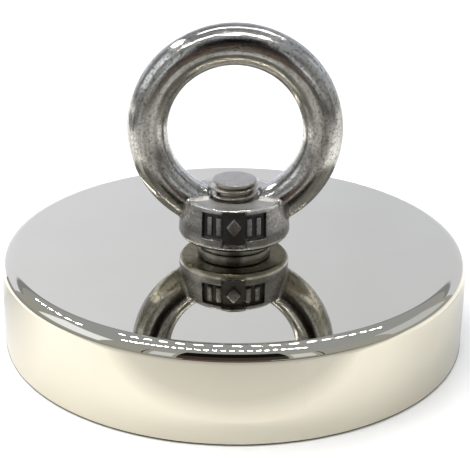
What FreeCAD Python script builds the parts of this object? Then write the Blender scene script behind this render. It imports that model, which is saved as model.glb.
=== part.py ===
import FreeCAD, Part
import math
import os
import Sketcher

# Magnet fishing magnet: a steel cup that holds a ring magnet, a countersunk bolt through its middle,
# and an eye nut screwed onto the bolt over a spring lock washer.
# Millimetres. The origin is the centre of the working face, +Z runs up the bolt, and the ring of the
# eye nut lies in the XZ plane.

DIMENSIONS = (
    # cup
    ("pot_diameter", 97.0),
    ("pot_height", 19.7),
    ("shoulder_radius", 2.9),
    ("rim_chamfer", 0.25),
    ("wall_thickness", 6.0),
    ("recess_depth", 11.7),
    ("bolt_hole_diameter", 11.0),
    # magnet and the resins that hold it
    ("magnet_inset", 0.5),
    ("bond_thickness", 0.2),
    ("side_gap", 0.8),
    ("fill_inset", 0.9),
    ("magnet_chamfer", 0.3),
    # bolt, M10 x 30 countersunk, and the resin sleeve around it
    ("thread_diameter", 9.86),
    ("bolt_length", 30.0),
    ("end_chamfer", 0.75),
    ("head_recess", 4.0),
    ("head_diameter", 20.0),
    ("head_edge", 0.5),
    ("socket_width", 6.0),
    ("socket_depth", 3.6),
    ("seat_gap", 0.2),
    ("sleeve_inset", 1.0),
    # lock washer for M10, pressed flat
    ("washer_outer", 15.4),
    ("washer_inner", 10.2),
    ("washer_thickness", 2.4),
    ("washer_edge", 0.3),
    ("washer_split", 0.9),
    ("washer_split_lean", 0.7),
    # collar of the eye nut, heights above the top of the cup
    ("running_clearance", 0.06),
    ("bore_chamfer", 0.6),
    ("collar_bottom_diameter", 21.8),
    ("collar_bevel", 3.2),
    ("collar_diameter", 23.2),
    ("collar_waist", 4.4),
    ("collar_top", 11.1),
    ("collar_top_diameter", 20.5),
    # ring of the eye nut
    ("ring_radius", 17.8),
    ("ring_thickness", 8.5),
    ("ring_centre", 24.9),
    ("spot_face_diameter", 11.2),
    # recessed panel with raised bars and a lozenge, front and back of the collar
    ("panel_bottom", 5.0),
    ("panel_top", 10.1),
    ("panel_angle", 71.0),
    ("panel_floor_diameter", 21.7),
    ("panel_floor_top_diameter", 19.7),
    ("tab_bottom", 3.8),
    ("tab_top", 10.75),
    ("tab_angle", 23.0),
    ("bar_angle", 5.0),
    ("bar_step", 11.0),
    ("bar_margin", 0.9),
    ("bar_height", 0.45),
    ("lozenge_half_width", 1.5),
    ("lozenge_depth", 2.0),
)

doc = FreeCAD.newDocument("fishing_magnet")
sheet = doc.addObject("Spreadsheet::Sheet", "sizes")
for row, (alias, value) in enumerate(DIMENSIONS, start=1):
    sheet.set("A%d" % row, alias)
    sheet.set("B%d" % row, str(value))
    sheet.setAlias("B%d" % row, alias)
doc.recompute()


def expand(expression):
    """Writes sheet aliases as full references, longest names first: pot_height -> sizes.pot_height."""
    words = []
    for word in expression.split(" "):
        bare = word.strip("()")
        if any(bare == alias for alias, _ in DIMENSIONS):
            word = word.replace(bare, "sizes." + bare)
        words.append(word)
    return " ".join(words)


def number(expression):
    """The present value of an expression written with the sheet's aliases."""
    return float(sheet.evalExpression(expand(expression)))


def new_body(label):
    body = doc.addObject("PartDesign::Body", label)
    body.Label = label
    return body


def plane(body, role):
    return next(feature for feature in body.Origin.OriginFeatures if feature.Role == role)


def new_sketch(body, name, role, lift=None):
    """A sketch on one of the body's own origin planes, raised along its normal by an expression."""
    sketch = body.newObject("Sketcher::SketchObject", name)
    sketch.AttachmentSupport = [(plane(body, role), "")]
    sketch.MapMode = "FlatFace"
    if lift is not None:
        sketch.setExpression("AttachmentOffset.Base.z", expand(lift))
    return sketch


def pin_point(sketch, geometry, position, x_expression, y_expression):
    """Ties one sketch point to two expressions, measured from the sketch's origin."""
    for kind, expression in (("DistanceX", x_expression), ("DistanceY", y_expression)):
        index = sketch.addConstraint(Sketcher.Constraint(kind, geometry, position, number(expression)))
        sketch.setExpression("Constraints[%d]" % index, expand(expression))


def draw_outline(sketch, corners):
    """A closed outline of straight lines through corners, each a pair of expressions."""
    points = [FreeCAD.Vector(number(x), number(y), 0) for x, y in corners]
    count = len(points)
    for index in range(count):
        sketch.addGeometry(Part.LineSegment(points[index], points[(index + 1) % count]), False)
    for index in range(count):
        sketch.addConstraint(Sketcher.Constraint("Coincident", index, 2, (index + 1) % count, 1))
    for index, (x, y) in enumerate(corners):
        pin_point(sketch, index, 1, x, y)


def draw_circle(sketch, x_expression, y_expression, radius_expression):
    centre = FreeCAD.Vector(number(x_expression), number(y_expression), 0)
    axis = FreeCAD.Vector(0, 0, 1)
    index = sketch.addGeometry(Part.Circle(centre, axis, number(radius_expression)), False)
    pin_point(sketch, index, 3, x_expression, y_expression)
    radius = sketch.addConstraint(Sketcher.Constraint("Radius", index, number(radius_expression)))
    sketch.setExpression("Constraints[%d]" % radius, expand(radius_expression))


def turned(body, name, corners, role="XZ_Plane", cut=False, angle=None):
    """Revolves an outline of (radius, height) corners about the Z axis, whole or by an angle."""
    sketch = new_sketch(body, name + "_outline", role)
    draw_outline(sketch, corners)
    feature = body.newObject("PartDesign::Groove" if cut else "PartDesign::Revolution", name)
    feature.Profile = sketch
    feature.ReferenceAxis = (sketch, ["V_Axis"])
    if angle is not None:
        feature.Midplane = True
        feature.setExpression("Angle", expand(angle))
    doc.recompute()
    return feature


def edges_at(feature, radius, height, tolerance=0.01):
    """Names of the whole circular edges about the Z axis at one radius and height."""
    names = []
    for index, edge in enumerate(feature.Shape.Edges, start=1):
        curve = edge.Curve
        if not isinstance(curve, Part.Circle) or not edge.isClosed():
            continue
        on_axis = math.hypot(curve.Center.x, curve.Center.y) < tolerance
        if on_axis and abs(curve.Radius - radius) < tolerance and abs(curve.Center.z - height) < tolerance:
            names.append("Edge%d" % index)
    return names


def dress(body, kind, name, feature, places, size):
    """Adds a Fillet or Chamfer of one size at circular edges given as (radius, height) expressions."""
    edges = []
    for radius, height in places:
        edges += edges_at(feature, number(radius), number(height))
    dressed = body.newObject("PartDesign::" + kind, name)
    dressed.Base = (feature, edges)
    dressed.setExpression("Radius" if kind == "Fillet" else "Size", expand(size))
    doc.recompute()
    return dressed


def make_pot_shell():
    body = new_body("pot_shell")
    cup = turned(body, "cup", (
        ("bolt_hole_diameter / 2", "recess_depth"),
        ("pot_diameter / 2 - wall_thickness", "recess_depth"),
        ("pot_diameter / 2 - wall_thickness", "0"),
        ("pot_diameter / 2", "0"),
        ("pot_diameter / 2", "pot_height"),
        ("bolt_hole_diameter / 2", "pot_height"),
    ))
    shoulder = dress(body, "Fillet", "shoulder", cup, (("pot_diameter / 2", "pot_height"),),
                     "shoulder_radius")
    dress(body, "Chamfer", "rim_edges", shoulder, (
        ("pot_diameter / 2", "0"),
        ("pot_diameter / 2 - wall_thickness", "0"),
        ("bolt_hole_diameter / 2", "pot_height"),
    ), "rim_chamfer")
    return body


def make_magnet_ring():
    """The countersink follows the bolt head's 45 degree cone, one seat gap away, down to the face."""
    body = new_body("magnet_ring")
    cone_offset = "head_recess + head_edge + head_diameter / 2 + seat_gap * sqrt(2)"
    ring = turned(body, "ring", (
        ("bolt_hole_diameter / 2", cone_offset + " - bolt_hole_diameter / 2"),
        (cone_offset + " - magnet_inset", "magnet_inset"),
        ("pot_diameter / 2 - wall_thickness - side_gap", "magnet_inset"),
        ("pot_diameter / 2 - wall_thickness - side_gap", "recess_depth - bond_thickness"),
        ("bolt_hole_diameter / 2", "recess_depth - bond_thickness"),
    ))
    dress(body, "Chamfer", "edges", ring, (
        ("pot_diameter / 2 - wall_thickness - side_gap", "magnet_inset"),
        ("pot_diameter / 2 - wall_thickness - side_gap", "recess_depth - bond_thickness"),
    ), "magnet_chamfer")
    return body


def make_magnet_bond():
    body = new_body("magnet_bond")
    turned(body, "layer", (
        ("bolt_hole_diameter / 2", "recess_depth - bond_thickness"),
        ("pot_diameter / 2 - wall_thickness - side_gap - magnet_chamfer", "recess_depth - bond_thickness"),
        ("pot_diameter / 2 - wall_thickness - side_gap - magnet_chamfer", "recess_depth"),
        ("bolt_hole_diameter / 2", "recess_depth"),
    ))
    return body


def make_side_fill():
    """Resin in the gap between the magnet and the wall of the cup."""
    body = new_body("side_fill")
    turned(body, "fill", (
        ("pot_diameter / 2 - wall_thickness - side_gap", "fill_inset"),
        ("pot_diameter / 2 - wall_thickness", "fill_inset"),
        ("pot_diameter / 2 - wall_thickness", "recess_depth"),
        ("pot_diameter / 2 - wall_thickness - side_gap", "recess_depth"),
    ))
    return body


def make_countersunk_bolt():
    """The thread is drawn at its major diameter, so the nut's bore runs on it with a clearance."""
    body = new_body("countersunk_bolt")
    turned(body, "shank_and_head", (
        ("0", "head_recess"),
        ("head_diameter / 2", "head_recess"),
        ("head_diameter / 2", "head_recess + head_edge"),
        ("thread_diameter / 2", "head_recess + head_edge + head_diameter / 2 - thread_diameter / 2"),
        ("thread_diameter / 2", "head_recess + bolt_length - end_chamfer"),
        ("thread_diameter / 2 - end_chamfer", "head_recess + bolt_length"),
        ("0", "head_recess + bolt_length"),
    ))
    solid_volume = body.Shape.Volume
    sketch = new_sketch(body, "socket_outline", "XY_Plane", "head_recess")
    radius = "socket_width / sqrt(3)"
    corners = []
    for corner in range(6):
        turn = 60 * corner
        corners.append(("%s * cos(%d)" % (radius, turn), "%s * sin(%d)" % (radius, turn)))
    draw_outline(sketch, corners)
    socket = body.newObject("PartDesign::Pocket", "socket")
    socket.Profile = sketch
    socket.Reversed = True
    socket.setExpression("Length", expand("socket_depth"))
    doc.recompute()
    cut = solid_volume - body.Shape.Volume
    expected = number("2 * sqrt(3) * (socket_width / 2) ^ 2 * socket_depth")
    if abs(cut - expected) > 0.01 * expected:
        raise RuntimeError("the hex socket cuts %.2f mm3, not %.2f" % (cut, expected))
    return body


def make_bolt_sleeve():
    """Resin around the bolt: on its cone and in the holes of the magnet and the cup."""
    body = new_body("bolt_sleeve")
    cone = "head_recess + head_edge + head_diameter / 2"
    turned(body, "sleeve", (
        ("head_diameter / 2", "head_recess + head_edge"),
        ("head_diameter / 2 + seat_gap * sqrt(2)", "head_recess + head_edge"),
        ("bolt_hole_diameter / 2", cone + " + seat_gap * sqrt(2) - bolt_hole_diameter / 2"),
        ("bolt_hole_diameter / 2", "pot_height - sleeve_inset"),
        ("thread_diameter / 2", "pot_height - sleeve_inset"),
        ("thread_diameter / 2", cone + " - thread_diameter / 2"),
    ))
    return body


def make_lock_washer():
    """A flattened split washer. Its slanted split faces +Y."""
    body = new_body("lock_washer")
    ring = turned(body, "ring", (
        ("washer_inner / 2", "pot_height"),
        ("washer_outer / 2", "pot_height"),
        ("washer_outer / 2", "pot_height + washer_thickness"),
        ("washer_inner / 2", "pot_height + washer_thickness"),
    ))
    dress(body, "Fillet", "edges", ring, (
        ("washer_outer / 2", "pot_height"),
        ("washer_outer / 2", "pot_height + washer_thickness"),
    ), "washer_edge")
    whole_volume = body.Shape.Volume
    sketch = new_sketch(body, "split_outline", "XZ_Plane")
    low = "pot_height - washer_thickness"
    high = "pot_height + 2 * washer_thickness"
    lean = "washer_split_lean * 1.5"
    draw_outline(sketch, (
        ("washer_split / 2 - " + lean, low),
        ("washer_split / 2 + " + lean, high),
        ("0 - washer_split / 2 + " + lean, high),
        ("0 - washer_split / 2 - " + lean, low),
    ))
    split = body.newObject("PartDesign::Pocket", "split")
    split.Profile = sketch
    split.Reversed = False
    split.setExpression("Length", expand("washer_outer"))
    doc.recompute()
    cut = whole_volume - body.Shape.Volume
    expected = number("washer_split * washer_thickness * (washer_outer - washer_inner) / 2")
    if abs(cut - expected) > 0.1 * expected:
        raise RuntimeError("the split cuts %.2f mm3, not %.2f" % (cut, expected))
    return body


def above_pot(expression):
    return "pot_height + " + expression


def panel_floor(height):
    """Radius of the panel's sloping floor at a height above the cup, as an expression."""
    slope = "( panel_floor_diameter - panel_floor_top_diameter ) / 2 / ( panel_top - panel_bottom )"
    return "panel_floor_diameter / 2 - ( %s - panel_bottom ) * %s" % (height, slope)


def add_panel(body):
    """The recessed panel on the front of the collar, with a wider middle tab. Returns its cuts."""
    outside = "collar_diameter / 2 + 1"
    cuts = []
    for name, low, high, angle in (
        ("panel", "panel_bottom", "panel_top", "panel_angle"),
        ("tab", "tab_bottom", "tab_top", "tab_angle"),
    ):
        cuts.append(turned(body, name, (
            (panel_floor(low), above_pot(low)),
            (outside, above_pot(low)),
            (outside, above_pot(high)),
            (panel_floor(high), above_pot(high)),
        ), role="YZ_Plane", cut=True, angle=angle))
    return cuts


def add_relief(body):
    """Four raised bars and a lozenge on the floor of the panel."""
    low = "panel_bottom + bar_margin"
    high = "panel_top - bar_margin"
    reliefs = []
    for number_along, steps in enumerate((-2.5, -1.5, 1.5, 2.5)):
        sketch = new_sketch(body, "bar_outline_%d" % number_along, "YZ_Plane")
        sketch.AttachmentOffset = FreeCAD.Placement(
            FreeCAD.Vector(), FreeCAD.Rotation(FreeCAD.Vector(0, 1, 0), steps * number("bar_step")))
        draw_outline(sketch, (
            (panel_floor(low) + " - bar_height", above_pot(low)),
            (panel_floor(low) + " + bar_height", above_pot(low)),
            (panel_floor(high) + " + bar_height", above_pot(high)),
            (panel_floor(high) + " - bar_height", above_pot(high)),
        ))
        bar = body.newObject("PartDesign::Revolution", "bar_%d" % number_along)
        bar.Profile = sketch
        bar.ReferenceAxis = (sketch, ["V_Axis"])
        bar.Midplane = True
        bar.setExpression("Angle", expand("bar_angle"))
        reliefs.append(bar)
    middle = "( panel_bottom + panel_top ) / 2"
    face = panel_floor(middle) + " + bar_height"
    sketch = new_sketch(body, "lozenge_outline", "XZ_Plane", "0 - ( " + face + " )")
    half_height = "( ( panel_top - panel_bottom ) / 2 - bar_margin )"
    draw_outline(sketch, (
        ("0 - lozenge_half_width", above_pot(middle)),
        ("0", above_pot(middle + " - " + half_height)),
        ("lozenge_half_width", above_pot(middle)),
        ("0", above_pot(middle + " + " + half_height)),
    ))
    lozenge = body.newObject("PartDesign::Pad", "lozenge")
    lozenge.Profile = sketch
    lozenge.setExpression("Length", expand("lozenge_depth"))
    doc.recompute()
    reliefs.append(lozenge)
    return reliefs


def make_eye_nut():
    body = new_body("eye_nut")
    bore = "thread_diameter / 2 + running_clearance"
    turned(body, "collar", (
        ("0", above_pot("washer_thickness")),
        ("collar_bottom_diameter / 2", above_pot("washer_thickness")),
        ("collar_diameter / 2", above_pot("collar_bevel")),
        ("collar_diameter / 2", above_pot("collar_waist")),
        ("collar_top_diameter / 2", above_pot("collar_top")),
        ("0", above_pot("collar_top")),
    ))
    sketch = new_sketch(body, "ring_outline", "XY_Plane", above_pot("ring_centre"))
    draw_circle(sketch, "ring_radius", "0", "ring_thickness / 2")
    ring = body.newObject("PartDesign::Revolution", "ring")
    ring.Profile = sketch
    ring.ReferenceAxis = (sketch, ["V_Axis"])
    doc.recompute()
    turned(body, "spot_face", (
        ("0", above_pot("collar_top")),
        ("spot_face_diameter / 2", above_pot("collar_top")),
        ("spot_face_diameter / 2", above_pot("collar_top + ring_thickness / 2")),
        ("0", above_pot("collar_top + ring_thickness / 2")),
    ), cut=True)
    turned(body, "bore", (
        ("0", above_pot("washer_thickness")),
        (bore + " + bore_chamfer", above_pot("washer_thickness")),
        (bore, above_pot("washer_thickness + bore_chamfer")),
        (bore, above_pot("collar_top - bore_chamfer")),
        (bore + " + bore_chamfer", above_pot("collar_top")),
        ("0", above_pot("collar_top")),
    ), cut=True)
    plain_volume = body.Shape.Volume
    marks = add_panel(body) + add_relief(body)
    one_side = plain_volume - body.Shape.Volume
    both_sides = body.newObject("PartDesign::PolarPattern", "both_sides")
    both_sides.Originals = marks
    both_sides.Axis = (marks[0].Profile[0], ["V_Axis"])
    both_sides.Angle = 360
    both_sides.Occurrences = 2
    body.Tip = both_sides
    doc.recompute()
    cut = plain_volume - body.Shape.Volume
    if one_side < 10 or abs(cut - 2 * one_side) > 0.01 * cut:
        raise RuntimeError("the panels cut %.2f mm3, and one cuts %.2f" % (cut, one_side))
    return body


MAKERS = (
    make_pot_shell,
    make_magnet_ring,
    make_magnet_bond,
    make_side_fill,
    make_countersunk_bolt,
    make_bolt_sleeve,
    make_lock_washer,
    make_eye_nut,
)
pieces = [maker() for maker in MAKERS]
doc.recompute()

for item in doc.Objects:
    if "Invalid" in item.State or "Error" in item.State:
        raise RuntimeError("%s failed to compute" % item.Name)
for piece in pieces:
    if piece.Shape.isNull() or not piece.Shape.isValid():
        raise RuntimeError("%s has no valid shape" % piece.Label)

os.makedirs("parts", exist_ok=True)
for piece in pieces:
    piece.Shape.exportStep("parts/%s.step" % piece.Label)
    print("%-18s %10.1f mm3" % (piece.Label, piece.Shape.Volume))
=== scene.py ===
import math

import bpy
import numpy as np
from mathutils import Matrix, Vector


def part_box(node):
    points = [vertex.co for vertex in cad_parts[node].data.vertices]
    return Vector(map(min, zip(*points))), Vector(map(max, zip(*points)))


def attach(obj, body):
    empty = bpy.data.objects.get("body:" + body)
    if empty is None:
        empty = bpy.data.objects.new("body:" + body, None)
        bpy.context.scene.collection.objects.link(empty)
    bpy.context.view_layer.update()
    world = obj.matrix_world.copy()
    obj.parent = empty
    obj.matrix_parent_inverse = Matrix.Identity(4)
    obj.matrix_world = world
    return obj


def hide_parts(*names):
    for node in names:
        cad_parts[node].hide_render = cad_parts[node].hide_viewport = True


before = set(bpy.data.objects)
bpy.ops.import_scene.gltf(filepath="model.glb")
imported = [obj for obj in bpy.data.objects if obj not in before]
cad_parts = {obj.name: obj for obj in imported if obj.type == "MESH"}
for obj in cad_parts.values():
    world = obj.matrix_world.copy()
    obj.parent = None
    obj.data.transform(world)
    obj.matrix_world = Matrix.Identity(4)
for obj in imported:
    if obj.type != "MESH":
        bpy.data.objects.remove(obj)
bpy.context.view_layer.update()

# A magnet fishing magnet on a pale table. Lengths are in metres, through MM where millimetres read better.
MM = 0.001

# ---------------------------------------------------------------- sizes, from the frame

_, pot_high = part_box("pot_shell")
POT_RADIUS = round(pot_high.x, 4)
POT_TOP = pot_high.z
magnet_low, magnet_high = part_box("magnet_ring")
MAGNET_RADIUS = round(magnet_high.x, 4)
bolt_low, bolt_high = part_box("countersunk_bolt")
washer_low, washer_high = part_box("lock_washer")
nut_low, nut_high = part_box("eye_nut")
fill_low, fill_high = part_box("side_fill")
RECESS_RADIUS = round(fill_high.x, 4)
RECESS_TOP = fill_high.z
_, sleeve_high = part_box("bolt_sleeve")

THREAD_PITCH = 1.5 * MM
THREAD_RADIUS = 4.93 * MM
THREAD_DEPTH = 0.92 * MM
POINT_RADIUS = 4.55 * MM
BOLT_HOLE_RADIUS = 5.5 * MM
HEAD_RADIUS = round(bolt_high.x, 4)
HEAD_RIM = 0.5 * MM
HEAD_APEX = bolt_low.z + HEAD_RIM + HEAD_RADIUS  # where the sides of the head's cone would meet
SLEEVE_GAP = 0.28 * MM


# ---------------------------------------------------------------- mesh helpers

def mesh_object(name, vertices, faces, crease_degrees=30):
    """A smooth-shaded object whose edges sharper than the crease angle stay sharp."""
    mesh = bpy.data.meshes.new(name)
    mesh.from_pydata(vertices, [], faces)
    mesh.update()
    mesh.shade_smooth()
    mesh.set_sharp_from_angle(angle=math.radians(crease_degrees))
    piece = bpy.data.objects.new(name, mesh)
    bpy.context.scene.collection.objects.link(piece)
    return piece


def arc(centre_r, centre_z, radius, start, end, count):
    """Profile points on an arc, angles in degrees from +r towards +z."""
    angles = np.radians(np.linspace(start, end, count + 1))
    return [(centre_r + radius * math.cos(a), centre_z + radius * math.sin(a)) for a in angles]


def lathe(name, rows, steps=192, closed=True, crease_degrees=30):
    """A turned piece. A row is (radius, height); the radius may be a function of the turn's angles."""
    angles = np.arange(steps) * 2 * math.pi / steps
    vertices = []
    rings = []
    for radius, height in rows:
        radii = radius(angles) if callable(radius) else np.full(steps, float(radius))
        if np.all(radii < 1e-9):
            rings.append([len(vertices)] * steps)
            vertices.append((0.0, 0.0, height))
            continue
        rings.append(list(range(len(vertices), len(vertices) + steps)))
        vertices += [(r * math.cos(a), r * math.sin(a), height) for r, a in zip(radii, angles)]
    pairs = list(zip(rings, rings[1:]))
    if closed:
        pairs.append((rings[-1], rings[0]))
    faces = []
    for lower, upper in pairs:
        for step in range(steps):
            after = (step + 1) % steps
            corners = (lower[step], lower[after], upper[after], upper[step])
            faces.append(tuple(dict.fromkeys(corners)))
    return mesh_object(name, vertices, faces, crease_degrees)


# ---------------------------------------------------------------- material helpers

class Nodes:
    """Short calls for building one material's node tree."""

    def __init__(self, name):
        self.material = bpy.data.materials.new(name)
        self.material.use_nodes = True
        self.tree = self.material.node_tree
        self.shader = self.tree.nodes["Principled BSDF"]

    def add(self, kind, **settings):
        node = self.tree.nodes.new(kind)
        for key, value in settings.items():
            setattr(node, key, value)
        return node

    def link(self, output, socket):
        self.tree.links.new(output, socket)

    def put(self, value, socket):
        """Sets a socket to a colour or a number, or links it to an output."""
        if isinstance(value, tuple):
            socket.default_value = (*value, 1.0)
        elif isinstance(value, (int, float)):
            socket.default_value = value
        else:
            self.link(value, socket)

    def attribute(self, name, output="Fac"):
        return self.add("ShaderNodeAttribute", attribute_name=name).outputs[output]

    def place(self, scale=(1, 1, 1)):
        """Object coordinates, in metres, stretched by a scale."""
        coordinates = self.add("ShaderNodeTexCoord")
        mapping = self.add("ShaderNodeMapping")
        mapping.inputs["Scale"].default_value = scale
        self.link(coordinates.outputs["Object"], mapping.inputs["Vector"])
        return mapping.outputs["Vector"]

    def noise(self, vector, scale, detail=3.0, roughness=0.55):
        node = self.add("ShaderNodeTexNoise")
        node.inputs["Scale"].default_value = scale
        node.inputs["Detail"].default_value = detail
        node.inputs["Roughness"].default_value = roughness
        self.link(vector, node.inputs["Vector"])
        return node.outputs["Fac"]

    def rings(self, vector, scale, distortion, detail):
        """Rings round the axis, as turning or lapping leaves them."""
        node = self.add("ShaderNodeTexWave", wave_type="RINGS", rings_direction="Z")
        node.inputs["Scale"].default_value = scale
        node.inputs["Distortion"].default_value = distortion
        node.inputs["Detail"].default_value = detail
        self.link(vector, node.inputs["Vector"])
        return node.outputs["Fac"]

    def ramp(self, value, stops):
        """A colour ramp over (position, colour) stops."""
        node = self.add("ShaderNodeValToRGB")
        elements = node.color_ramp.elements
        while len(elements) < len(stops):
            elements.new(0.5)
        for element, (position, colour) in zip(elements, stops):
            element.position = position
            element.color = (*colour, 1.0)
        self.link(value, node.inputs["Fac"])
        return node.outputs["Color"]

    def spread(self, value, low, high, from_low=0.3, from_high=0.7):
        """Maps a texture value to a range."""
        node = self.add("ShaderNodeMapRange")
        node.inputs["From Min"].default_value = from_low
        node.inputs["From Max"].default_value = from_high
        node.inputs["To Min"].default_value = low
        node.inputs["To Max"].default_value = high
        self.link(value, node.inputs["Value"])
        return node.outputs["Result"]

    def mix(self, factor, first, second):
        """Goes from the first colour to the second as the factor goes from 0 to 1."""
        node = self.add("ShaderNodeMix", data_type="RGBA")
        for number, value in ((0, factor), (6, first), (7, second)):
            self.put(value, node.inputs[number])
        return node.outputs[2]

    def math(self, operation, first, second):
        node = self.add("ShaderNodeMath", operation=operation)
        for socket, value in zip(node.inputs, (first, second)):
            self.put(value, socket)
        return node.outputs[0]

    def bump(self, height, strength, distance, normal=None):
        node = self.add("ShaderNodeBump")
        node.inputs["Strength"].default_value = strength
        node.inputs["Distance"].default_value = distance
        self.link(height, node.inputs["Height"])
        if normal is not None:
            self.link(normal, node.inputs["Normal"])
        return node.outputs["Normal"]

    def finish(self, colour, roughness, normal=None, metallic=1.0):
        self.link(colour, self.shader.inputs["Base Color"])
        self.link(roughness, self.shader.inputs["Roughness"])
        self.shader.inputs["Metallic"].default_value = metallic
        if normal is not None:
            self.link(normal, self.shader.inputs["Normal"])
        return self.material

    def finish_as(self, surface):
        """Ends the material with another shader in place of the Principled one."""
        self.link(surface, self.tree.nodes["Material Output"].inputs["Surface"])
        self.tree.nodes.remove(self.shader)
        return self.material

    def emit(self, colour, strength):
        """Ends the material as a light, of one colour or a linked one."""
        node = self.add("ShaderNodeEmission")
        node.inputs["Strength"].default_value = strength
        self.put(colour, node.inputs["Color"])
        return self.finish_as(node.outputs["Emission"])


def nickel_mirror():
    """Polished nickel plate: a warm mirror with faint haze, wiping marks and a slight waviness."""
    n = Nodes("nickel_mirror")
    place = n.place()
    haze = n.noise(place, 45.0, 4.0)
    wiping = n.noise(n.place((1.0, 9.0, 1.0)), 160.0, 5.0)
    colour = n.ramp(haze, ((0.3, (0.575, 0.542, 0.446)), (0.7, (0.595, 0.562, 0.466))))
    roughness = n.spread(n.math("ADD", haze, n.math("MULTIPLY", wiping, 0.5)), 0.018, 0.040, 0.5, 1.0)
    waves = n.bump(n.noise(place, 60.0, 1.0), 0.02, 0.3 * MM)
    scratches = n.bump(n.noise(n.place((0.3, 40.0, 1.0)), 260.0, 2.0), 0.006, 0.02 * MM, waves)
    return n.finish(colour, roughness, scratches)


def cast_stainless():
    """Cast stainless steel: polished along the ring, with painted shade in its panels and on the collar's
    side, and a painted highlight along the collar's top and bottom edges.
    """
    dark_grain = (0.055, 0.052, 0.046)
    dark_patch = (0.15, 0.142, 0.125)
    sand = (0.45, 0.435, 0.40)
    # The near-black of the painted shade and the near-white of the painted highlight.
    shade_colour = (0.060, 0.057, 0.052)
    highlight_colour = (0.88, 0.86, 0.82)
    n = Nodes("cast_stainless")
    place = n.place()
    patches = n.noise(place, 260.0, 5.0)
    grain = n.noise(place, 1700.0, 4.0, 0.75)
    pits = n.noise(place, 5200.0, 2.0, 0.6)
    lay = n.attribute("lay", "Vector")
    strokes = n.noise(lay, 620.0, 4.0, 0.6)
    fine_strokes = n.noise(lay, 2400.0, 3.0, 0.6)
    painted_shade = n.attribute("painted_shade")
    sandy = n.attribute("sandy")
    painted_highlight = n.attribute("painted_highlight")
    base = n.ramp(strokes, ((0.36, (0.28, 0.268, 0.242)), (0.64, (0.62, 0.60, 0.55))))
    speckled = n.mix(n.spread(grain, 0.0, 0.62, 0.50, 0.62), base, dark_grain)
    shaded = n.mix(n.spread(patches, 0.0, 0.30, 0.45, 0.70), speckled, dark_patch)
    topped = n.mix(n.math("MULTIPLY", sandy, 0.6), shaded, sand)
    # Painted shade over the panels and the collar's side.
    with_shade = n.mix(painted_shade, topped, shade_colour)
    # Painted highlight along the collar's top and bottom edges.
    colour = n.mix(painted_highlight, with_shade, highlight_colour)
    polished = n.spread(n.math("ADD", patches, n.math("MULTIPLY", fine_strokes, 0.6)), 0.06, 0.15, 0.6, 1.0)
    rougher = n.math("ADD", polished, n.spread(grain, 0.0, 0.12, 0.42, 0.62))
    roughness = n.math("ADD", rougher, n.math("MULTIPLY", sandy, 0.32))
    dents = n.bump(strokes, 0.35, 0.25 * MM)
    scratched = n.bump(fine_strokes, 0.12, 0.06 * MM, dents)
    cast = n.bump(grain, 0.20, 0.08 * MM, scratched)
    return n.finish(colour, roughness, n.bump(pits, 0.12, 0.05 * MM, cast))


def turned_steel():
    """The bolt: turning rings on its flat ends and a slightly torn, oily thread."""
    n = Nodes("turned_steel")
    place = n.place()
    rings = n.rings(place, 1400.0, 1.5, 2.0)
    fine = n.noise(place, 1800.0, 4.0)
    broad = n.noise(place, 330.0, 3.0)
    colour = n.ramp(broad, ((0.3, (0.31, 0.29, 0.255)), (0.7, (0.45, 0.425, 0.375))))
    roughness = n.spread(n.math("ADD", broad, n.math("MULTIPLY", fine, 0.5)), 0.24, 0.38, 0.5, 1.0)
    turned = n.bump(rings, 0.10, 0.03 * MM)
    return n.finish(colour, roughness, n.bump(fine, 0.15, 0.05 * MM, turned))


def rolled_steel():
    """The lock washer: wire rolled square, so its marks run round it."""
    n = Nodes("rolled_steel")
    lines = n.noise(n.place((1.0, 1.0, 14.0)), 420.0, 4.0)
    spots = n.noise(n.place(), 1500.0, 3.0)
    colour = n.ramp(lines, ((0.3, (0.26, 0.255, 0.24)), (0.7, (0.42, 0.415, 0.40))))
    roughness = n.spread(spots, 0.26, 0.42)
    return n.finish(colour, roughness, n.bump(lines, 0.18, 0.05 * MM))


def magnet_plating():
    """Satin nickel on a sintered magnet: faint circular lapping marks, small scuffs from use."""
    n = Nodes("magnet_plating")
    place = n.place()
    lapping = n.rings(place, 520.0, 3.0, 3.0)
    scuffs = n.noise(n.place((1.0, 12.0, 1.0)), 90.0, 5.0)
    cloud = n.noise(place, 40.0, 4.0)
    colour = n.ramp(cloud, ((0.3, (0.57, 0.565, 0.54)), (0.7, (0.66, 0.655, 0.63))))
    roughness = n.spread(n.math("ADD", cloud, n.math("MULTIPLY", scuffs, 0.6)), 0.20, 0.34, 0.6, 1.0)
    lapped = n.bump(lapping, 0.05, 0.02 * MM)
    return n.finish(colour, roughness, n.bump(scuffs, 0.06, 0.05 * MM, lapped))


def cured_resin():
    """Dark epoxy: glossy, uneven, with small bubbles."""
    n = Nodes("cured_resin")
    place = n.place()
    bubbles = n.add("ShaderNodeTexVoronoi")
    bubbles.inputs["Scale"].default_value = 900.0
    n.link(place, bubbles.inputs["Vector"])
    holes = n.spread(bubbles.outputs["Distance"], 0.0, 1.0, 0.05, 0.22)
    cloud = n.noise(place, 120.0, 4.0)
    colour = n.ramp(cloud, ((0.3, (0.020, 0.020, 0.022)), (0.7, (0.050, 0.048, 0.046))))
    roughness = n.spread(cloud, 0.16, 0.34)
    uneven = n.bump(cloud, 0.25, 0.3 * MM)
    return n.finish(colour, roughness, n.bump(holes, 0.3, 0.06 * MM, uneven), metallic=0.0)


def pale_table():
    """Matt white table, with the faintest mottling."""
    n = Nodes("pale_table")
    cloud = n.noise(n.place(), 6.0, 3.0)
    colour = n.ramp(cloud, ((0.3, (0.86, 0.86, 0.855)), (0.7, (0.88, 0.88, 0.875))))
    return n.finish(colour, n.spread(cloud, 0.7, 0.8), metallic=0.0)


def glow(name, colour, strength):
    """An even light, for the cards and lamps round the object."""
    return Nodes(name).emit(colour, strength)


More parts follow.
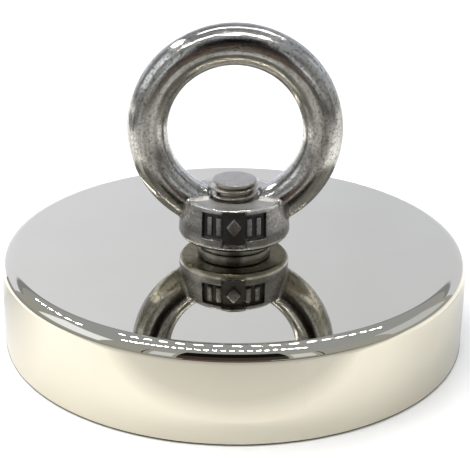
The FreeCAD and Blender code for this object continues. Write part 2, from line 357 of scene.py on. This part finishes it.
def settle(piece, material, body, slot, *nodes):
    """Gives a new piece its material and its body, and hides the CAD nodes that it stands for. The slot is
    not used.
    """
    piece.data.materials.append(material)
    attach(piece, body)
    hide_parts(*nodes)


# ---------------------------------------------------------------- camera

# Fitted to the cup's outline, the ring and the ring's mirror image.
CAMERA_PLACE = Vector((0.2, -247.2, 125.9)) * MM
SENSOR_WIDTH = 36.0
FOCAL_LENGTH = 97.7
DEGREES_DOWN = 22.93
ROLL_DEGREES = 0.57


def make_camera():
    camera = bpy.data.objects.new("camera", bpy.data.cameras.new("camera"))
    bpy.context.scene.collection.objects.link(camera)
    camera.data.sensor_width = SENSOR_WIDTH
    camera.data.lens = FOCAL_LENGTH
    camera.data.clip_start = 0.01
    camera.data.clip_end = 20.0
    place = Matrix.Translation(CAMERA_PLACE)
    look_down = Matrix.Rotation(math.radians(90 - DEGREES_DOWN), 4, "X")
    roll = Matrix.Rotation(math.radians(ROLL_DEGREES), 4, "Z")
    camera.matrix_world = place @ look_down @ roll
    bpy.context.scene.camera = camera


# ---------------------------------------------------------------- the cup and what it holds

def make_cup(material):
    """The cup: one turned profile, with its round shoulder and its small rounds at the rim and the hole."""
    shoulder = 2.9 * MM
    rim_round = 0.6 * MM
    edge = 0.25 * MM
    hole = BOLT_HOLE_RADIUS
    rows = [(hole, RECESS_TOP), (RECESS_RADIUS, RECESS_TOP)]
    rows += [(RECESS_RADIUS, edge), (RECESS_RADIUS + edge, 0.0)]
    rows += arc(POT_RADIUS - rim_round, rim_round, rim_round, -90, 0, 6)
    rows += [(POT_RADIUS, rim_round + edge), (POT_RADIUS, POT_TOP - shoulder - edge)]
    rows += arc(POT_RADIUS - shoulder, POT_TOP - shoulder, shoulder, 0, 90, 24)
    rows += [(POT_RADIUS - shoulder - edge, POT_TOP), (hole + 3 * edge, POT_TOP)]
    rows += [(hole + edge, POT_TOP), (hole, POT_TOP - edge)]
    cup = lathe("cup", rows, steps=384)
    settle(cup, material, "magnet_body", "nickel_polished", "pot_shell")


def make_magnet(material):
    """The ring magnet. Its hole follows the head of the bolt, with the gap for the resin."""
    edge = 0.3 * MM
    face = magnet_low.z
    back = magnet_high.z
    cone = HEAD_APEX + SLEEVE_GAP
    mouth = cone - face
    rows = [(BOLT_HOLE_RADIUS, cone - BOLT_HOLE_RADIUS)]
    rows += [(mouth - edge, face + edge)]
    rows += arc(mouth + 0.6 * edge, face + edge, edge, 225, 270, 3)
    rows += [(mouth + 4 * edge, face), (MAGNET_RADIUS - 3 * edge, face)]
    rows += arc(MAGNET_RADIUS - edge, face + edge, edge, -90, 0, 4)
    rows += [(MAGNET_RADIUS, back - edge), (MAGNET_RADIUS - edge, back), (BOLT_HOLE_RADIUS, back)]
    magnet = lathe("magnet_disc", rows, steps=256)
    settle(magnet, material, "magnet_body", "magnet_plating", "magnet_ring")


def make_side_fill(material):
    """The resin's open face dips between the magnet and the cup."""
    middle = (MAGNET_RADIUS + RECESS_RADIUS) / 2
    half = (RECESS_RADIUS - MAGNET_RADIUS) / 2
    dip = 0.25 * MM
    rows = [(MAGNET_RADIUS, fill_high.z)]
    for step in range(9):
        across = -1 + step / 4
        sag = dip * (1 - across * across)
        rows.append((middle + across * half, fill_low.z + sag))
    rows.append((RECESS_RADIUS, fill_high.z))
    fill = lathe("side_resin", rows, steps=256)
    settle(fill, material, "magnet_body", "resin", "side_fill")


def make_sleeve(material):
    """Resin round the bolt. It fills the roots of the thread, so its bore is narrower than the crests."""
    cone = HEAD_APEX
    gap = SLEEVE_GAP
    bore = THREAD_RADIUS - THREAD_DEPTH
    rows = [(HEAD_RADIUS, cone - HEAD_RADIUS), (HEAD_RADIUS + gap, cone - HEAD_RADIUS)]
    rows += [(BOLT_HOLE_RADIUS, cone + gap - BOLT_HOLE_RADIUS)]
    rows += [(BOLT_HOLE_RADIUS, sleeve_high.z), (BOLT_HOLE_RADIUS - gap, sleeve_high.z - 0.4 * gap)]
    rows += [(THREAD_RADIUS, sleeve_high.z - 0.5 * gap), (bore, sleeve_high.z - 0.3 * gap)]
    rows += [(bore, cone - THREAD_RADIUS)]
    sleeve = lathe("bolt_resin", rows, steps=128)
    settle(sleeve, material, "magnet_body", "resin", "bolt_sleeve")


# ---------------------------------------------------------------- the bolt

def thread_profile(phase):
    """Depth below the crest, 0 to 1, over one pitch of a 60 degree thread with flat crest and root."""
    half_crest, half_root = 1 / 16, 1 / 8
    distance = np.abs(((phase + 0.5) % 1.0) - 0.5)
    return np.clip((distance - half_crest) / (1 / 2 - half_root - half_crest), 0, 1)


def thread_radius(height, angles):
    """Radius of the bolt's right-hand thread at one height."""
    phase = height / THREAD_PITCH - angles / (2 * math.pi)
    return THREAD_RADIUS - THREAD_DEPTH * thread_profile(phase)


def hexagon(apothem):
    """A radius function for a hexagon of that half width."""
    def radius(angles):
        return apothem / np.cos((angles + math.pi / 6) % (math.pi / 3) - math.pi / 6)
    return radius


def make_bolt(material):
    """The bolt, from the drill point behind its socket out over the head and up to its threaded end."""
    face = bolt_low.z
    end = bolt_high.z
    socket_floor = face + 3.6 * MM
    socket = 3.0 * MM
    lead = 0.35 * MM
    edge = 0.15 * MM
    rows = [(0.0, socket_floor + 1.0 * MM), (socket - 0.4 * MM, socket_floor + 0.2 * MM)]
    rows += [(hexagon(socket), socket_floor), (hexagon(socket), face + 1.2 * lead)]
    rows += [(hexagon(socket + lead), face), (HEAD_RADIUS - 3 * edge, face)]
    rows += arc(HEAD_RADIUS - edge, face + edge, edge, -90, 0, 4)
    rows += [(HEAD_RADIUS, face + HEAD_RIM)]
    plain_end = washer_low.z - 3.0 * MM
    rows += [(THREAD_RADIUS, HEAD_APEX - THREAD_RADIUS), (THREAD_RADIUS, plain_end)]
    step = THREAD_PITCH / 20
    height = plain_end + step
    while height < end - 0.5 * step:
        rows.append((thread_row(height, end - height), height))
        height += step if end - height > 2.0 * MM else step / 2
    rows += [(POINT_RADIUS - 0.18 * MM, end), (POINT_RADIUS - 0.8 * MM, end - 0.02 * MM)]
    rows += [(1.0 * MM, end - 0.04 * MM), (0.0, end - 0.07 * MM)]
    bolt = lathe("threaded_bolt", rows, steps=120, closed=False, crease_degrees=40)
    settle(bolt, material, "magnet_body", "bolt_steel", "countersunk_bolt")


def thread_row(height, below_end):
    """Radii round the bolt at one height: a short plain point at its end, a neck, then the thread."""
    point_length = 0.45 * MM
    neck_length = 0.35 * MM
    neck_radius = THREAD_RADIUS - THREAD_DEPTH + 0.05 * MM
    run_in = 0.3 * MM
    edge = 0.15 * MM
    point = POINT_RADIUS
    if below_end < edge:
        point += math.sqrt(edge ** 2 - (edge - below_end) ** 2) - edge
    if below_end > point_length:
        point = neck_radius
    into_thread = min(max((below_end - point_length - neck_length) / run_in, 0), 1)

    def radius(angles):
        thread = thread_radius(height, angles)
        return point + (thread - point) * into_thread
    return radius


# ---------------------------------------------------------------- the lock washer

def make_washer(material):
    """A flattened split ring: a rounded bar swept round, with its split slanting at +Y."""
    inner = 5.1 * MM
    outer = washer_high.x
    low = washer_low.z
    high = washer_high.z
    edge = 0.35 * MM
    section = []
    for centre_r, centre_z, start in ((outer - edge, low + edge, -90), (outer - edge, high - edge, 0),
                                      (inner + edge, high - edge, 90), (inner + edge, low + edge, 180)):
        section += arc(centre_r, centre_z, edge, start, start + 90, 4)
    steps = 160
    middle = (low + high) / 2
    half_gap = 0.45 * MM / ((inner + outer) / 2)
    lean = 0.35 * MM / ((high - low) / 2) / ((inner + outer) / 2)
    start = math.pi / 2 + half_gap
    span = 2 * math.pi - 2 * half_gap
    vertices = []
    for step in range(steps + 1):
        for r, z in section:
            a = start + span * step / steps - lean * (z - middle)
            vertices.append((r * math.cos(a), r * math.sin(a), z))
    count = len(section)
    faces = [tuple(range(count)), tuple(reversed(range(steps * count, (steps + 1) * count)))]
    for step in range(steps):
        for corner in range(count):
            after = (corner + 1) % count
            a, b = step * count, (step + 1) * count
            faces.append((a + corner, b + corner, b + after, a + after))
    washer = mesh_object("split_washer", vertices, faces, 35)
    settle(washer, material, "washer", "washer_steel", "lock_washer")


# ---------------------------------------------------------------- the eye nut, from a distance field

# Millimetres. Heights on the collar are above the top of the cup.
RING_RADIUS = 17.8
RING_BAR = 4.25
RING_CENTRE = nut_high.z / MM - RING_RADIUS - RING_BAR
TOP = POT_TOP / MM
SEAT = (nut_low.z - POT_TOP) / MM
COLLAR_TOP = 11.1
COLLAR = ((10.9, SEAT), (11.58, 3.2), (11.58, 4.6), (10.3, COLLAR_TOP))
ROOT_FILLET = 0.65
DISH_DEPTH, DISH_RADIUS, DISH_SLOPE = 0.22, 9.75, 0.5
LAND_DEPTH = 0.12
PANEL_LOW, PANEL_HIGH, PANEL_HALF_WIDTH = 5.0, 10.1, 6.9
TAB_LOW, TAB_HIGH, TAB_HALF_WIDTH = 3.8, 10.75, 2.3
FLOOR_RADIUS = 10.82
LOZENGE_HALF_WIDTH = 1.55
BAR_PLACES, BAR_HALF_WIDTH = (3.15, 5.15), 0.55
RELIEF_HEIGHT = 0.5
RELIEF_BACK = 9.0
SPOT_FACE_RADIUS = 5.6
SPOT_FACE = COLLAR_TOP - 0.25
BORE_CLEARANCE = 0.1
BORE_CHAMFER = 0.5
# Strength of the painted shade on the collar's side.
SIDE_SHADE = 0.50


def smooth_min(a, b, reach):
    """The lesser of two fields, rounded where they are within reach of each other."""
    mixed = np.clip(0.5 + 0.5 * (b - a) / reach, 0, 1)
    return b + (a - b) * mixed - reach * mixed * (1 - mixed)


def smooth_max(a, b, reach):
    return -smooth_min(-a, -b, reach)


def collar_field(r, z):
    """Distance to the turned collar, z above the cup, as the meeting of its profile's sides."""
    dish = DISH_DEPTH * np.clip((DISH_RADIUS - r) / DISH_SLOPE, 0, 1)
    field = smooth_max(SEAT - z, z - COLLAR_TOP + dish, 0.1)
    for (r0, z0), (r1, z1) in zip(COLLAR, COLLAR[1:]):
        length = math.hypot(r1 - r0, z1 - z0)
        side = ((z1 - z0) * (r - r0) - (r1 - r0) * (z - z0)) / length
        field = smooth_max(field, side, 0.2)
    return field


def ring_field(x, y, z):
    """Distance to the ring's bar, with the narrow land left where the flash was trimmed inside it."""
    from_axis = np.hypot(x, z - RING_CENTRE)
    bar = np.hypot(from_axis - RING_RADIUS, y) - RING_BAR
    land = (RING_RADIUS - RING_BAR + LAND_DEPTH) - from_axis
    return smooth_max(bar, land, 0.12)


def floor_radius(z):
    """The panel's floor: a cone that narrows by 1 mm over the panel's height."""
    return FLOOR_RADIUS - (z - PANEL_LOW) / (PANEL_HIGH - PANEL_LOW)


def panel_field(r, across, z):
    """Negative inside the recess: a wide panel joined with a narrower, taller tab."""
    panel = np.maximum(np.abs(across) - PANEL_HALF_WIDTH, np.abs(z - (PANEL_LOW + PANEL_HIGH) / 2)
                       - (PANEL_HIGH - PANEL_LOW) / 2)
    tab = np.maximum(np.abs(across) - TAB_HALF_WIDTH, np.abs(z - (TAB_LOW + TAB_HIGH) / 2)
                     - (TAB_HIGH - TAB_LOW) / 2)
    return smooth_max(np.minimum(panel, tab), floor_radius(z) - r, 0.25)


def relief_field(r, across, z):
    """Two bars each side of a lozenge, standing on the panel's floor."""
    middle = (PANEL_LOW + PANEL_HIGH) / 2
    half_height = (PANEL_HIGH - PANEL_LOW) / 2 - 0.75
    shape = (np.abs(across) / LOZENGE_HALF_WIDTH + np.abs(z - middle) / half_height - 1) * 1.1
    for place in BAR_PLACES:
        beside = np.abs(np.abs(across) - place) - BAR_HALF_WIDTH
        shape = np.minimum(shape, np.maximum(beside, np.abs(z - middle) - half_height))
    return smooth_max(shape, r - floor_radius(z) - RELIEF_HEIGHT, 0.2)


def eye_nut_field(x, y, z):
    """Negative inside the casting. Millimetres, in the part's own frame."""
    above = z - TOP
    r = np.hypot(x, y)
    across = np.arctan2(x, np.abs(y)) * r
    field = smooth_min(collar_field(r, above), ring_field(x, y, z), ROOT_FILLET)
    field = smooth_max(field, SEAT - above, 0.1)
    hole_middle = RING_CENTRE - TOP - above
    spot_face = np.minimum(np.minimum(SPOT_FACE_RADIUS - r, above - SPOT_FACE), hole_middle)
    field = smooth_max(field, spot_face, 0.15)
    cut = panel_field(r, across, above)
    field = smooth_max(field, -cut, 0.18)
    relief = smooth_max(relief_field(r, across, above), RELIEF_BACK - r, 0.1)
    field = smooth_min(field, relief, 0.2)
    bore = np.minimum(bore_field(x, y, z, r, above), hole_middle)
    return smooth_max(field, bore, 0.08)


def bore_field(x, y, z, r, above):
    """The threaded bore, with a chamfer at each mouth: positive in the hole."""
    phase = z / (THREAD_PITCH / MM) - np.arctan2(y, x) / (2 * math.pi)
    crest = THREAD_RADIUS / MM + BORE_CLEARANCE
    wall = crest - (THREAD_DEPTH / MM - BORE_CLEARANCE) * thread_profile(phase)
    mouth = crest + BORE_CHAMFER - np.clip(np.minimum(above - SEAT, SPOT_FACE - above), 0, None)
    return (np.maximum(wall, mouth) - r) * 0.7


def surface_net(field, low, high, step):
    """Closed quad mesh of the zero level of a field, sampled on a grid and then drawn onto the surface."""
    axes = [np.arange(a, b + step, step) for a, b in zip(low, high)]
    grid = np.meshgrid(*axes, indexing="ij", sparse=True)
    values = field(*grid)
    inside = values < 0
    shape = np.array(values.shape) - 1
    corners = [(i, j, k) for i in (0, 1) for j in (0, 1) for k in (0, 1)]
    count = np.zeros(shape, np.int8)
    for i, j, k in corners:
        count += inside[i:i + shape[0], j:j + shape[1], k:k + shape[2]]
    cells = np.argwhere((count > 0) & (count < 8))
    index = np.full(shape, -1, np.int64)
    index[tuple(cells.T)] = np.arange(len(cells))
    total = np.zeros((len(cells), 3))
    weight = np.zeros(len(cells))
    for corner in corners:
        for axis in range(3):
            if corner[axis]:
                continue
            first = cells + np.array(corner)
            second = first.copy()
            second[:, axis] += 1
            a, b = values[tuple(first.T)], values[tuple(second.T)]
            crossed = (a < 0) != (b < 0)
            share = np.where(crossed, a / np.where(crossed, a - b, 1), 0)
            point = first.astype(float)
            point[:, axis] += share
            total[crossed] += point[crossed]
            weight += crossed
    points = total / weight[:, None] * step + np.array(low)
    faces = []
    for axis in range(3):
        one, two = (axis + 1) % 3, (axis + 2) % 3
        ahead = np.moveaxis(inside, axis, 0)
        changed = np.moveaxis(ahead[1:] != ahead[:-1], 0, axis)
        for edge_sign in (True, False):
            starts = np.argwhere(changed & (np.take(inside, range(shape[axis]), axis) == edge_sign))
            keep = (starts[:, one] > 0) & (starts[:, two] > 0)
            starts = starts[keep]
            quad = []
            for back_one, back_two in ((1, 1), (0, 1), (0, 0), (1, 0)):
                cell = starts.copy()
                cell[:, one] -= back_one
                cell[:, two] -= back_two
                quad.append(index[tuple(cell.T)])
            if not edge_sign:
                quad.reverse()
            faces.append(np.stack(quad, 1))
    return points, np.concatenate(faces)


def draw_onto(field, points, rounds=3, probe=0.02, limit=0.1):
    """Moves points along the field's gradient until they lie on its surface."""
    for _ in range(rounds):
        value = field(*points.T)
        gradient = np.zeros_like(points)
        for axis in range(3):
            shift = np.zeros(3)
            shift[axis] = probe
            gradient[:, axis] = (field(*(points + shift).T) - field(*(points - shift).T)) / (2 * probe)
        size = np.maximum((gradient ** 2).sum(1), 0.05)
        move = np.clip(value / size, -limit, limit)[:, None] * gradient
        points = points - move
    return points


def polishing_lay(x, y, z):
    """Coordinates for the polishing strokes: true across the bar or the collar, shrunk along them."""
    shrink = 0.08
    along_ring = np.arctan2(x, z - RING_CENTRE) * RING_RADIUS
    across_bar = np.arctan2(y, np.hypot(x, z - RING_CENTRE) - RING_RADIUS) * RING_BAR
    along_collar = np.arctan2(x, np.abs(y)) * COLLAR[1][0]
    on_ring = ring_field(x, y, z) < collar_field(np.hypot(x, y), z - TOP)
    across = np.where(on_ring, across_bar, z)
    along = np.where(on_ring, along_ring, along_collar)
    return np.stack((across, along * shrink, np.where(on_ring, 0.0, 20.0)), 1)


def painted_light_and_sand(x, y, z):
    """How much painted shade, sand and painted highlight the casting gets at points on its surface, 0 to 1.
    """
    above = z - TOP
    r = np.hypot(x, y)
    depth = -smooth_min(collar_field(r, above), ring_field(x, y, z), ROOT_FILLET)
    in_panel = (np.abs(y) > 4) & (np.abs(x) < 7.2)
    # Painted shade in the panels, darker where they are deeper.
    painted_shade = np.where(in_panel, np.clip((depth - 0.2) / 0.3, 0, 1), 0)
    below_top = np.clip((COLLAR_TOP - 0.5 - above) / 0.4, 0, 1)
    on_side = below_top * np.clip((above - COLLAR[1][1] - 0.1) / 0.4, 0, 1)
    # Painted shade on the collar's side, between its bevel and its top.
    painted_shade = np.maximum(painted_shade, SIDE_SHADE * on_side * (r < COLLAR[1][0] + 0.4))
    on_top = (np.abs(above - COLLAR_TOP) < 0.4) & (r < 10)
    # Painted highlight: a bright line along the collar's top and bottom edges.
    bottom_edge = np.hypot(r - COLLAR[1][0], above - COLLAR[1][1])
    top_edge = np.hypot(r - COLLAR[3][0], above - COLLAR_TOP)
    painted_highlight = np.clip(1.4 - np.minimum(bottom_edge, top_edge) / 0.25, 0, 1)
    return painted_shade, np.maximum(painted_shade, on_top), painted_highlight


def make_eye_nut(material):
    """The casting."""
    step = 0.2
    margin = 3 * step
    low = [place / MM - margin for place in nut_low]
    high = [place / MM + margin for place in nut_high]
    points, faces = surface_net(eye_nut_field, low, high, step)
    points = draw_onto(eye_nut_field, points)
    nut = mesh_object("cast_eye_nut", (points * MM).tolist(), faces.tolist(), 50)
    x, y, z = points.T
    # Masks for the painted shade, the sand and the painted highlight.
    for attribute, values in zip(("painted_shade", "sandy", "painted_highlight"), painted_light_and_sand(x, y, z)):
        layer = nut.data.attributes.new(attribute, "FLOAT", "POINT")
        layer.data.foreach_set("value", values.astype(np.float32))
    layer = nut.data.attributes.new("lay", "FLOAT_VECTOR", "POINT")
    layer.data.foreach_set("vector", (polishing_lay(x, y, z) * MM).astype(np.float32).ravel())
    settle(nut, material, "eye", "cast_stainless", "eye_nut")


# ---------------------------------------------------------------- the studio

# The way a card faces, with the camera in front, at -Y.
TO_FRONT = Vector((0, -1, 0))
TO_BACK = Vector((0, 1, 0))
TO_LEFT = Vector((-1, 0, 0))
TO_RIGHT = Vector((1, 0, 0))
DOWN = Vector((0, 0, -1))

COOL = (0.79, 0.84, 0.95)
TABLE_REACH = 3
FRONT_WALL = -0.6
LAMP_HEIGHT = 0.6

# Films that paint shade on the table where mirrors see it: (place in metres, share of the light that they
# let through).
# Painted shade ahead of the cup: darker from 55 mm in front of its axis, and much darker towards the tent's
# open front.
AHEAD_LEVELS = ((-0.60, 0.10), (-0.20, 0.12), (-0.16, 0.38), (-0.09, 0.46), (-0.063, 0.66), (-0.055, 1.0))
# Painted shade on the table beside the cup's right and left sides, darkest a little behind the cup's
# middle.
RIGHT_LEVELS = ((-0.045, 1.0), (-0.029, 0.88), (-0.007, 0.78), (0.012, 0.65), (0.040, 1.0))
LEFT_LEVELS = ((-0.028, 1.0), (-0.019, 0.88), (-0.005, 0.68), (0.009, 0.50), (0.040, 1.0))
# Painted contact shadow in a thin ring under the cup's rim.
CONTACT_LEVELS = ((0.0486, 0.10), (0.0490, 1.0))
BESIDE_CUP = (48.8 * MM, 85 * MM)
UNDER_RIM = (47.6 * MM, 49.0 * MM)


def sheet_card(name, width, height, place, facing, material):
    """A flat card, centred at place, that faces one way. The camera doesn't see it; mirrors do."""
    half_w, half_h = width / 2, height / 2
    corners = [(-half_w, -half_h, 0), (half_w, -half_h, 0), (half_w, half_h, 0), (-half_w, half_h, 0)]
    card = mesh_object(name, corners, [(0, 1, 2, 3)])
    card.matrix_world = Matrix.Translation(place) @ facing.to_track_quat("Z", "Y").to_matrix().to_4x4()
    card.data.materials.append(material)
    card.visible_camera = False
    return card


def area_light(name, width, height, place, target, power, colour=(1, 1, 1)):
    """A soft light that neither the camera nor a mirror sees."""
    data = bpy.data.lights.new(name, "AREA")
    data.shape = "RECTANGLE"
    data.size = width
    data.size_y = height
    data.energy = power
    data.color = colour
    light = bpy.data.objects.new(name, data)
    bpy.context.scene.collection.objects.link(light)
    light.location = place
    light.rotation_euler = (Vector(target) - Vector(place)).to_track_quat("-Z", "Y").to_euler()
    light.visible_camera = False
    light.visible_glossy = False


def wall_glow():
    """The light tent's back wall: cool, brighter on the left, and dimmer towards the ceiling."""
    n = Nodes("back_wall")
    parts = n.add("ShaderNodeSeparateXYZ")
    n.link(n.place(), parts.inputs["Vector"])
    along = n.spread(parts.outputs["X"], 0.0, 1.0, -0.22, 0.12)
    up = n.spread(parts.outputs["Y"], 0.0, 1.0, 0.17, 0.21)
    left_half, right_half, upper = (0.777, 0.812, 0.956), (0.644, 0.680, 0.796), (0.25, 0.266, 0.316)
    lit = n.ramp(along, ((0.0, left_half), (1.0, right_half)))
    return n.emit(n.mix(up, lit, upper), 1.38)


def shade_film(name, stops, radial):
    """A clear film whose tint paints shade on the table under it.

    A stop is (place, level), in metres along Y or, where radial, in metres from the axis.
    """
    n = Nodes(name)
    if radial:
        parts = n.add("ShaderNodeVectorMath", operation="LENGTH")
    else:
        parts = n.add("ShaderNodeSeparateXYZ")
    n.link(n.place(), parts.inputs[0])
    place = parts.outputs["Value" if radial else "Y"]
    low, high = stops[0][0], stops[-1][0]
    levels = [((at - low) / (high - low), (level, level, level)) for at, level in stops]
    film = n.add("ShaderNodeBsdfTransparent")
    n.link(n.ramp(n.spread(place, 0.0, 1.0, low, high), levels), film.inputs["Color"])
    return n.finish_as(film.outputs["BSDF"])


def darker_table(name, vertices, faces, stops, radial=False):
    """A film that paints shade on a part of the table, in mirrors only."""
    part = mesh_object(name, vertices, faces)
    part.data.materials.append(shade_film(name, stops, radial))
    part.visible_camera = False
    part.visible_diffuse = False
    part.visible_shadow = False


def near_cup(name, radii, height, start, end, stops, radial=False):
    """A sector of shade film on the table round the cup, between two radii. Angles are in degrees from +X.
    """
    steps = 96
    vertices = []
    for step in range(steps + 1):
        a = math.radians(start + (end - start) * step / steps)
        vertices += [(radius * math.cos(a), radius * math.sin(a), height) for radius in radii]
    faces = [(2 * step, 2 * step + 1, 2 * step + 3, 2 * step + 2) for step in range(steps)]
    darker_table(name, vertices, faces, stops, radial)


def lamp_strip(name, start, end, count, size, material):
    """A row of small square lamps under the tent's ceiling, facing down."""
    half = size / 2
    vertices, faces = [], []
    for number in range(count):
        x, y, z = Vector(start).lerp(Vector(end), number / (count - 1))
        base = len(vertices)
        for side_x, side_y in ((-1, -1), (-1, 1), (1, 1), (1, -1)):
            vertices.append((x + side_x * half, y + side_y * half, z))
        faces.append((base, base + 1, base + 2, base + 3))
    strip = mesh_object(name, vertices, faces)
    strip.data.materials.append(material)
    strip.visible_camera = False


def make_studio():
    """A light tent: a table, cards for its walls and openings, lamps, and films that paint shade on the
    table in mirrors.
    """
    reach = TABLE_REACH
    corners = [(-reach, -reach, 0), (reach, -reach, 0), (reach, reach, 0), (-reach, reach, 0)]
    table = mesh_object("table_top", corners, [(0, 1, 2, 3)])
    table.data.materials.append(pale_table())
    world = bpy.data.worlds.new("studio")
    world.use_nodes = True
    background = world.node_tree.nodes["Background"]
    background.inputs["Color"].default_value = (0.93, 0.945, 0.95, 1.0)
    background.inputs["Strength"].default_value = 0.55
    bpy.context.scene.world = world
    area_light("overhead", 0.9, 0.9, (-0.32, 0.1, 0.55), (0, 0, 0), 5.9, (1.0, 0.96, 0.90))
    area_light("front_fill", 0.9, 0.2, (-0.12, -0.55, 0.11), (0, 0, 0), 3.9, (1.0, 0.92, 0.75))
    area_light("right_fill", 0.5, 0.2, (0.6, 0.05, 0.15), (0, 0, 0), 0.4)
    make_walls()
    make_front()
    make_shade_films()
    lamps = glow("lamps", (1.0, 1.0, 1.0), 130.0)
    lamp_strip("lamps_back", (-0.24, 0.21, LAMP_HEIGHT), (0.36, 0.25, LAMP_HEIGHT), 18, 0.016, lamps)
    lamp_strip("lamps_front", (-0.45, -0.19, LAMP_HEIGHT), (0.25, -0.19, LAMP_HEIGHT), 26, 0.013, lamps)
    lamp_strip("lamps_left", (-0.56, 0.56, LAMP_HEIGHT), (-0.48, 0.16, LAMP_HEIGHT), 6, 0.032, lamps)


def make_walls():
    sheet_card("back_wall", 2.6, 0.62, Vector((0, 0.8, 0.31)), TO_FRONT, wall_glow())
    sheet_card("ceiling", 1.6, 1.3, Vector((0, 0.1, 0.62)), DOWN, glow("ceiling", COOL, 0.6))
    sheet_card("right_wall", 0.55, 0.42, Vector((0.75, 0.08, 0.38)), TO_LEFT, glow("right_wall", COOL, 1.0))
    sheet_card("left_wall", 0.50, 0.42, Vector((-0.7, -0.13, 0.38)), TO_RIGHT, glow("left_wall", COOL, 1.7))


def make_front():
    """The tent's open front: dark in the middle, lit at its sides, with edges of sheets on the table."""
    bright = glow("front_panels", COOL, 1.2)
    dark = glow("dark", (1.0, 0.95, 0.9), 0.01)
    dim = glow("dim", (1.0, 0.92, 0.85), 0.07)
    for side, name in ((-1, "left"), (1, "right")):
        panel_place = Vector((side * 0.37, FRONT_WALL, 0.24))
        seam_place = Vector((side * 0.50, FRONT_WALL, 0.25))
        sheet_card("front_panel_" + name, 0.15, 0.30, panel_place, TO_BACK, bright)
        sheet_card("seam_" + name, 0.014, 0.45, seam_place, TO_BACK, dark)
    sheet_card("dark_front", 0.54, 0.47, Vector((0, FRONT_WALL, 0.515)), TO_BACK, dark)
    sheet_card("dim_front", 0.54, 0.23, Vector((0, FRONT_WALL, 0.165)), TO_BACK, dim)
    sheet_card("warm_front", 0.40, 0.05, Vector((-0.03, -0.59, 0.025)), TO_BACK,
               glow("warm_front", (1.0, 0.5, 0.38), 0.3))
    edges = (
        sheet_card("sheet_edge_left", 0.34, 0.03, Vector((-0.17, -0.06, 0.015)), TO_RIGHT,
                   glow("sheet_edge_left", (0.85, 0.9, 0.95), 0.5)),
        sheet_card("sheet_edge_front", 0.13, 0.012, Vector((0, -0.17, 0.008)), TO_BACK,
                   glow("sheet_edge_front", (1.0, 0.75, 0.65), 0.11)),
    )
    for card in edges:
        card.visible_diffuse = False
        card.visible_shadow = False


def make_shade_films():
    """The films of painted shade ahead of the cup and on its two sides, and of painted contact shadow along
    the line where it stands on the table.
    """
    side, far, near = 0.7, FRONT_WALL, AHEAD_LEVELS[-1][0]
    corners = ((-side, far), (side, far), (side, near), (-side, near))
    ahead = [(x, y, 1.0 * MM) for x, y in corners]
    darker_table("table_ahead", ahead, [(0, 1, 2, 3)], AHEAD_LEVELS)
    near_cup("table_right", BESIDE_CUP, 0.5 * MM, -70, 60, RIGHT_LEVELS)
    near_cup("table_left", BESIDE_CUP, 0.5 * MM, 120, 216, LEFT_LEVELS)
    near_cup("table_contact", UNDER_RIM, 0.03 * MM, 0, 360, CONTACT_LEVELS, True)


scene = bpy.context.scene
scene.view_settings.view_transform = "Standard"
make_camera()

nickel = nickel_mirror()
plating = magnet_plating()
resin = cured_resin()
make_cup(nickel)
make_magnet(plating)
make_side_fill(resin)
make_sleeve(resin)
make_bolt(turned_steel())
make_washer(rolled_steel())
make_eye_nut(cast_stainless())
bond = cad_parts["magnet_bond"]
bond.data.materials.clear()
bond.data.materials.append(resin)
make_studio()
